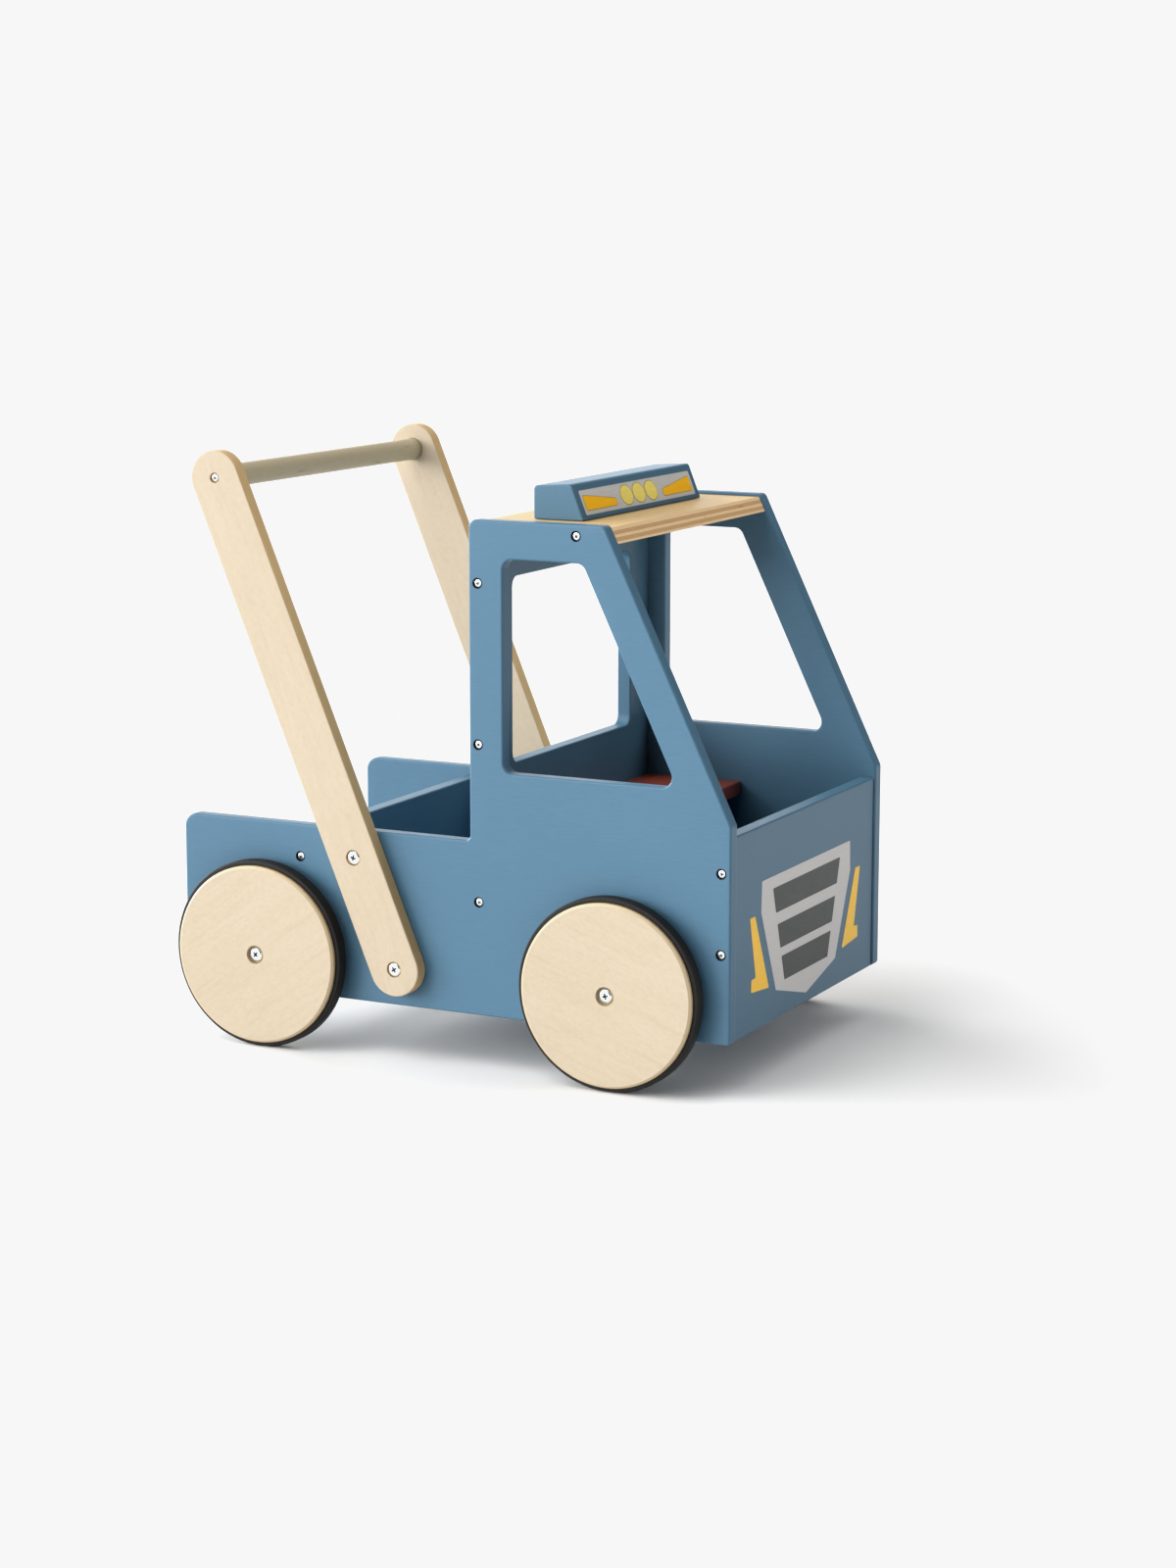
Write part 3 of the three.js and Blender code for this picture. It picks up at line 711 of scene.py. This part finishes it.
def light_bar_decals():
    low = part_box("roof_light_bar")[0]
    foot = Vector((low.x + LIGHT_BAR_FOOT, 0, low.z))
    crown = Vector((low.x + LIGHT_BAR_CROWN, 0, low.z + LIGHT_BAR_HEIGHTS["crown"]))
    up_slope = (crown - foot).normalized()
    matrix = axes_frame(Y_AXIS, up_slope, foot)
    grey_low, grey_high, grey_half = 4.1 * MM, 23.6 * MM, 98.5 * MM
    grey = [(-grey_half, grey_low), (grey_half, grey_low), (grey_half, grey_high), (-grey_half, grey_high)]
    flat_print("light_bar_print", softened(grey, 1.5 * MM), INK, print_grey, matrix)
    # millimetres from the truck's middle, and up the slope of the bar
    beam = [(41.5, 7.0), (95.5, 7.2), (95, 20.1), (41.5, 13.4)]
    for label, side in SIDES.items():
        outline = [(side * x * MM, y * MM) for x, y in beam]
        if side < 0:
            outline.reverse()
        flat_print(f"beam_outline_{label}", softened(outline, 2.2 * MM), 2 * INK, print_olive, matrix)
        inner = [(x, y) for x, y, _ in offset_corners([(x, y, 0) for x, y in outline], 0.5 * MM)]
        flat_print(f"beam_{label}", softened(inner, 1.8 * MM), 3 * INK, print_orange, matrix)
    lamp_height = (grey_low + grey_high) / 2
    semi_width, semi_height, spacing = 10.8 * MM, 8.4 * MM, 22 * MM
    for number in (-1, 0, 1):
        for rim, material, layers, part in ((0, print_olive, 2, "rim"), (0.7 * MM, print_cream, 3, "lamp")):
            outline = [(number * spacing + (semi_width - rim) * math.cos(angle),
                        lamp_height + (semi_height - rim) * math.sin(angle))
                       for angle in (2 * math.pi * i / 48 for i in range(48))]
            flat_print(f"bar_{part}_{number + 2}", outline, layers * INK, material, matrix)


front_decals()
light_bar_decals()


# ---------------------------------------------------------------- screws, bolts and nuts

def cross_recess(size, depth):
    """The tapered cross of a Phillips drive, as a cutter whose mouth is at z = 0."""
    bm = bmesh.new()
    for turn in (0, math.pi / 2):
        levels = ((0.3 * MM, size, size * 0.30), (-depth * 0.75, size * 0.62, size * 0.22),
                  (-depth, size * 0.18, size * 0.14))
        rings = []
        for z, half_length, half_width in levels:
            points = [(-half_length, -half_width), (half_length, -half_width),
                      (half_length, half_width), (-half_length, half_width)]
            points = [(x * math.cos(turn) - y * math.sin(turn), x * math.sin(turn) + y * math.cos(turn))
                      for x, y in points]
            rings.append(add_ring(bm, points, z))
        for lower, upper in zip(rings, rings[1:]):
            join_rings(bm, lower, upper)
        bm.faces.new(rings[0])
        bm.faces.new(rings[-1])
    # painted shade: every face of the cross takes the second, dark zinc, which stands for the shadow in the
    # drive
    for face in bm.faces:
        face.material_index = 1
    bmesh.ops.recalc_face_normals(bm, faces=bm.faces)
    mesh = bpy.data.meshes.new("cross_cutter")
    mesh.materials.append(zinc)
    mesh.materials.append(zinc_recess_painted_shade)
    bm.to_mesh(mesh)
    bm.free()
    return mesh


def fastener_mesh(name, profile, head_top, cross_size, cross_depth, segments=40):
    """A turned fastener with a Phillips recess in the middle of its head."""
    body = turned_mesh(name, profile, segments, zinc, sharp_degrees=35)
    # the dark zinc for the cross: painted shade
    body.data.materials.append(zinc_recess_painted_shade)
    cutter = bpy.data.objects.new("cutter", cross_recess(cross_size, cross_depth))
    bpy.context.scene.collection.objects.link(cutter)
    cutter.location.z = head_top
    body.modifiers.clear()
    boolean = body.modifiers.new("cross", "BOOLEAN")
    boolean.operation = "DIFFERENCE"
    boolean.solver = "EXACT"
    boolean.use_self = True
    boolean.material_mode = "INDEX"
    boolean.object = cutter
    bpy.context.view_layer.update()
    depsgraph = bpy.context.evaluated_depsgraph_get()
    cut = bpy.data.meshes.new_from_object(body.evaluated_get(depsgraph))
    cut.name = name
    cut.attributes.remove(cut.attributes[GRAIN_SPACE])
    bpy.data.objects.remove(body)
    bpy.data.objects.remove(cutter)
    cut.set_sharp_from_angle(angle=math.radians(35))
    return cut


SCREW_DOME = 0.45 * MM          # how far a wood screw's head rises over its rim


def wood_screw_mesh(length):
    """A countersunk wood screw with its head's rim at z = 0, threaded below."""
    head, shank, dome = 2.7 * MM, 1.6 * MM, SCREW_DOME
    cross, cross_depth = 1.6 * MM, 1.8 * MM
    profile = [(0, dome), (head * 0.5, dome * 0.86), (head * 0.82, dome * 0.4), (head * 0.97, 0.08 * MM),
               (head, -0.15 * MM), (head * 0.97, -0.45 * MM), (shank, -2.4 * MM), (shank, -11 * MM)]
    pitch = 1.5 * MM
    z = -11.5 * MM
    while z > -length + 3 * MM:
        profile += [(shank, z), (shank * 0.68, z - 0.5 * pitch)]
        z -= pitch
    profile += [(shank * 0.6, -length + 2.5 * MM), (0, -length)]
    return fastener_mesh("wood_screw", profile, dome, cross, cross_depth)


def bolt_mesh(name, length, head, thickness):
    """A pan-head bolt with its seat at z = 0."""
    shank, cross, cross_depth = 2.95 * MM, 2.4 * MM, 2.2 * MM
    profile = round_profile([
        (0, thickness, 0), (head * 0.7, thickness, 0.6 * MM), (head * 0.94, thickness * 0.7, 0.5 * MM),
        (head, thickness * 0.3, 0.3 * MM), (head, 0, 0.15 * MM), (shank, 0, 0), (shank, -length, 0.5 * MM),
        (0, -length, 0),
    ], 4)
    return fastener_mesh(name, profile, thickness, cross, cross_depth, segments=48)


def fastener(mesh, name, node, direction, origin, spin):
    matrix = facing(direction, origin) @ Matrix.Rotation(math.radians(spin), 4, "Z")
    piece = place(mesh.copy(), name, zinc, matrix)
    return stands_for(piece, node, "chassis")


def side_origin(node, side, inward=0.0):
    """The outer end of a node that lies along Y, moved inward."""
    low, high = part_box(node)
    middle = (low + high) / 2
    outer = high.y if side > 0 else low.y
    return Vector((middle.x, outer - side * inward, middle.z))


screw_length = node_size("screw_roof_right").y
wood_screw = wood_screw_mesh(screw_length - 0.6 * MM)
# the turn of each fastener's cross, in degrees, as a hand would leave them
spins = iter([12, 47, 71, 33, 80, 25, 58, 5, 66, 38, 17, 52, 74, 29, 61, 8, 43, 69, 21, 55,
              35, 78, 14, 49, 64, 27, 3, 72])

for label, side in SIDES.items():
    for screw in PANEL_SCREWS + ("grip",):
        node = f"screw_{screw}_{label}"
        fastener(wood_screw, f"wood_screw_{screw}_{label}", node, (0, side, 0),
                 side_origin(node, side, SCREW_DOME), next(spins))
    node = f"screw_seat_{label}"
    low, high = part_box(node)
    origin = Vector((low.x + SCREW_DOME, (low.y + high.y) / 2, (low.z + high.z) / 2))
    fastener(wood_screw, f"wood_screw_seat_{label}", node, (-1, 0, 0), origin, next(spins))

HEAD_RADIUS, HEAD_THICKNESS = 5.6 * MM, 2.6 * MM
for label, side in SIDES.items():
    for height in ("lower", "upper"):
        node = f"arm_bolt_{height}_{label}"
        mesh = bolt_mesh(f"arm_bolt_{height}_{label}_mesh", node_size(node).y - HEAD_THICKNESS,
                         HEAD_RADIUS, HEAD_THICKNESS)
        fastener(mesh, f"handle_bolt_{height}_{label}", node, (0, side, 0),
                 side_origin(node, side, HEAD_THICKNESS), next(spins))
    for end in ("front", "rear"):
        node = f"wheel_bolt_{end}_{label}"
        mesh = bolt_mesh(f"wheel_bolt_{end}_{label}_mesh", node_size(node).y - HEAD_THICKNESS,
                         HEAD_RADIUS, HEAD_THICKNESS)
        fastener(mesh, f"axle_bolt_{end}_{label}", node, (0, side, 0),
                 side_origin(node, side, HEAD_THICKNESS), next(spins))


def tee_nut(name, node, side):
    """A tee nut: a round plate with a rolled rim and a barrel that goes outward into the panel."""
    low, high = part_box(node)
    plate, flange, barrel, bore = 1.2 * MM, 8 * MM, 4.3 * MM, 3.1 * MM
    depth = high.y - low.y
    profile = round_profile([
        (bore, 0, 0), (bore + 0.6 * MM, 0, 0.2 * MM), (flange, 0, 0.4 * MM), (flange, plate, 0.3 * MM),
        (barrel + 0.4 * MM, plate, 0), (barrel, plate + 0.4 * MM, 0), (barrel, depth, 0.3 * MM),
        (bore, depth, 0),
    ], 4)
    inner = low.y if side > 0 else high.y
    middle = (low + high) / 2
    matrix = facing((0, side, 0), Vector((middle.x, inner, middle.z)))
    piece = turned_mesh(name, profile, 40, zinc, matrix=matrix)
    return stands_for(piece, node, "chassis")


def spacer(name, node, side):
    low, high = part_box(node)
    radius, bore, length = (high.x - low.x) / 2, 3.3 * MM, high.y - low.y
    profile = round_profile([
        (bore, 0, 0), (radius, 0, 0.5 * MM), (radius, length, 0.5 * MM), (bore, length, 0),
    ], 4)
    middle = (low + high) / 2
    matrix = facing((0, side, 0), Vector((middle.x, low.y if side > 0 else high.y, middle.z)))
    piece = turned_mesh(name, profile, 40, nylon, matrix=matrix)
    return stands_for(piece, node, "chassis")


for label, side in SIDES.items():
    for height in ("lower", "upper"):
        tee_nut(f"handle_nut_{height}_{label}", f"arm_nut_{height}_{label}", side)
    for end in ("front", "rear"):
        tee_nut(f"axle_nut_{end}_{label}", f"wheel_nut_{end}_{label}", side)
        spacer(f"axle_spacer_{end}_{label}", f"wheel_spacer_{end}_{label}", side)


# ---------------------------------------------------------------- push handle

def handle():
    grip_low, grip_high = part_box("handle_grip")
    grip_centre = (grip_low + grip_high) / 2
    for label, side in SIDES.items():
        half_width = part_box(f"handle_arm_{label}")[1].z - grip_centre.z
        foot = node_middle(f"arm_bolt_lower_{label}")
        upper_bolt = node_middle(f"arm_bolt_upper_{label}")
        rise = Vector((grip_centre.x - foot.x, 0, grip_centre.z - foot.z))
        length = rise.length
        along = rise.normalized()
        across = Y_AXIS.cross(along)
        arm_y = node_middle(f"handle_arm_{label}").y
        matrix = axes_frame(along, across, Vector((foot.x, arm_y, foot.z)))
        corner = half_width - 0.02 * MM
        outer = [(-half_width, -half_width, corner), (length + half_width, -half_width, corner),
                 (length + half_width, half_width, corner), (-half_width, half_width, corner)]
        face = -1 if (along.cross(across)).y * side < 0 else 1
        bolt_pitch = (upper_bolt - foot).length
        socket = (grip_high.x - grip_low.x) / 2 + GRIP_SOCKET_PLAY
        pockets = [(0, 0, BOLT_RING, BOLT_RECESS, face), (bolt_pitch, 0, BOLT_RING, BOLT_RECESS, face),
                   (length, 0, SCREW_RING, SCREW_RECESS, face),
                   (length, 0, socket, GRIP_SOCKET_DEPTH, -face)]
        arm = board(f"{label}_handle_arm", outer, BOARD, birch_plain, matrix, edge=1.0 * MM,
                    pockets=pockets, steps=14)
        stands_for(arm, f"handle_arm_{label}", "chassis")
    radius = (grip_high.x - grip_low.x) / 2
    half = (grip_high.y - grip_low.y) / 2
    profile = round_profile([(0, -half, 0), (radius, -half, 0.8 * MM), (radius, half, 0.8 * MM),
                             (0, half, 0)], 4)
    grip = turned_mesh("grip_dowel", profile, 64, birch_dowel, matrix=facing((0, 1, 0), grip_centre))
    stands_for(grip, "handle_grip", "chassis")


handle()


# ---------------------------------------------------------------- wheels

WHEEL_STEPS = 160
GRAIN_TURNS = {"front": 20, "rear": -35}    # degrees that the discs' grain is turned


def wheel(end, label, side):
    body = f"wheel_{end}_{label}"
    disc_low, disc_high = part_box(f"wheel_disc_{end}_{label}")
    tyre_low, tyre_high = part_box(f"tyre_{end}_{label}")
    centre = (disc_low + disc_high) / 2
    disc_radius = (disc_high.x - disc_low.x) / 2
    tyre_radius = (tyre_high.x - tyre_low.x) / 2
    tyre_width = tyre_high.y - tyre_low.y
    inner = disc_low.y if side > 0 else disc_high.y
    matrix = facing((0, side, 0), Vector((centre.x, inner, centre.z)))
    matrix = matrix @ Matrix.Rotation(math.radians(GRAIN_TURNS[end] * side), 4, "Z")
    seat = 69.3 * MM
    recess, recess_depth, bore = 7.4 * MM, 3.9 * MM, 3.4 * MM
    chamfer = 1.8 * MM
    thickness = disc_high.y - disc_low.y
    groove = tyre_width + 0.3 * MM
    disc_profile = round_profile([
        (bore, 0, 0), (seat, 0, 0.5 * MM), (seat, groove, 0), (disc_radius, groove, 0.3 * MM),
        (disc_radius, thickness - chamfer, 0.5 * MM), (disc_radius - chamfer, thickness, 0.4 * MM),
        (recess, thickness, 0.3 * MM), (recess, thickness - recess_depth, 0),
        (bore, thickness - recess_depth, 0),
    ], 4)
    disc = turned_mesh(f"disc_{end}_{label}", disc_profile, WHEEL_STEPS, birch_disc, matrix=matrix)
    stands_for(disc, f"wheel_disc_{end}_{label}", body)
    tyre_bore = 69.5 * MM
    tyre_profile = round_profile([
        (tyre_bore, tyre_width / 2, 0), (tyre_bore, 0, 0.3 * MM), (tyre_radius, 0, 1.6 * MM),
        (tyre_radius, tyre_width, 1.6 * MM), (tyre_bore, tyre_width, 0.3 * MM),
        (tyre_bore, tyre_width / 2 + 0.01 * MM, 0),
    ], 6)
    tyre = turned_mesh(f"rubber_ring_{end}_{label}", tyre_profile, WHEEL_STEPS, rubber, matrix=matrix)
    stands_for(tyre, f"tyre_{end}_{label}", body)


for end in ("front", "rear"):
    for label, side in SIDES.items():
        wheel(end, label, side)


# ---------------------------------------------------------------- studio

WHITE = 0.930                  # the brightest linear value in the picture
# Each is (degrees from the truck's right towards its front, degrees up, strength).
SOFTBOX_SPREAD = 40            # degrees
SOFTBOXES = ((-110, 12, 4.05), (-75, 12, 3.14), (-45, 12, 2.90), (-15, 12, 1.06), (-45, 58, 1.40),
             (-15, 58, 0.54), (110, 32, 0.74), (150, 58, 1.04))


def studio():
    """An overexposed white floor under a ring of softboxes, so that only the shadows near the truck show."""
    scene = bpy.context.scene
    view = scene.view_settings
    view.view_transform = "Standard"
    view.use_curve_mapping = True
    curve = view.curve_mapping
    curve.extend = "HORIZONTAL"
    master = curve.curves[3]
    master.points[1].location = (1, WHITE)
    shoulder = master.points.new(WHITE, WHITE)
    for point in (master.points[0], shoulder, master.points[-1]):
        point.handle_type = "VECTOR"
    curve.update()

    bm = bmesh.new()
    reach = 30
    corners = [bm.verts.new((x, y, 0)) for x, y in
               ((-reach, -reach), (reach, -reach), (reach, reach), (-reach, reach))]
    bm.faces.new(corners)
    mesh = bpy.data.meshes.new("studio_floor")
    bm.to_mesh(mesh)
    bm.free()
    floor = bpy.data.objects.new("studio_floor", mesh)
    scene.collection.objects.link(floor)
    paper = Shader("studio_paper", roughness=0.9, specular=0.1)
    paper.bsdf.inputs["Base Color"].default_value = (0.75, 0.75, 0.75, 1)
    mesh.materials.append(paper.material)

    world = bpy.data.worlds.new("studio_air")
    world.use_nodes = True
    nodes, links = world.node_tree.nodes, world.node_tree.links
    dark = nodes["Background"]
    dark.inputs["Color"].default_value = (0, 0, 0, 1)
    backdrop = nodes.new("ShaderNodeBackground")
    backdrop.inputs["Color"].default_value = (1, 1, 1, 1)
    mirrored = nodes.new("ShaderNodeBackground")
    coords = nodes.new("ShaderNodeTexCoord")
    facing_back = nodes.new("ShaderNodeVectorMath")
    facing_back.operation = "DOT_PRODUCT"
    facing_back.inputs[1].default_value = (-0.44, 0.90, 0)
    links.new(coords.outputs["Generated"], facing_back.inputs[0])
    fade = nodes.new("ShaderNodeMapRange")
    fade.inputs["From Min"].default_value = 0.85
    fade.inputs["From Max"].default_value = 1.0
    fade.inputs["To Max"].default_value = 3.5
    links.new(facing_back.outputs["Value"], fade.inputs["Value"])
    links.new(fade.outputs["Result"], mirrored.inputs["Strength"])
    path = nodes.new("ShaderNodeLightPath")
    for_gloss = nodes.new("ShaderNodeMixShader")
    links.new(path.outputs["Is Glossy Ray"], for_gloss.inputs[0])
    links.new(dark.outputs[0], for_gloss.inputs[1])
    links.new(mirrored.outputs[0], for_gloss.inputs[2])
    for_camera = nodes.new("ShaderNodeMixShader")
    links.new(path.outputs["Is Camera Ray"], for_camera.inputs[0])
    links.new(for_gloss.outputs[0], for_camera.inputs[1])
    links.new(backdrop.outputs[0], for_camera.inputs[2])
    links.new(for_camera.outputs[0], nodes["World Output"].inputs["Surface"])
    scene.world = world

    for number, (azimuth, elevation, strength) in enumerate(SOFTBOXES, 1):
        data = bpy.data.lights.new(f"softbox_{number}", "SUN")
        data.energy = strength
        data.angle = math.radians(SOFTBOX_SPREAD)
        light = bpy.data.objects.new(data.name, data)
        turn, rise = math.radians(azimuth), math.radians(elevation)
        source = Vector((math.sin(turn) * math.cos(rise), -math.cos(turn) * math.cos(rise), math.sin(rise)))
        light.rotation_euler = source.to_track_quat("Z", "Y").to_euler()
        scene.collection.objects.link(light)


def camera():
    azimuth, elevation, roll = math.radians(26.305), math.radians(10.298), math.radians(0.06)
    distance, target = 2.65, Vector((0.0529, -0.0137, 0.2024))
    back = Vector((math.sin(azimuth) * math.cos(elevation), -math.cos(azimuth) * math.cos(elevation),
                   math.sin(elevation)))
    data = bpy.data.cameras.new("camera")
    data.sensor_width = 36
    data.lens = 76.9
    data.clip_end = 100
    eye = bpy.data.objects.new("camera", data)
    turn = back.to_track_quat("Z", "Y").to_matrix().to_4x4() @ Matrix.Rotation(roll, 4, "Z")
    eye.matrix_world = Matrix.Translation(target + back * distance) @ turn
    bpy.context.scene.collection.objects.link(eye)
    bpy.context.scene.camera = eye


studio()
camera()
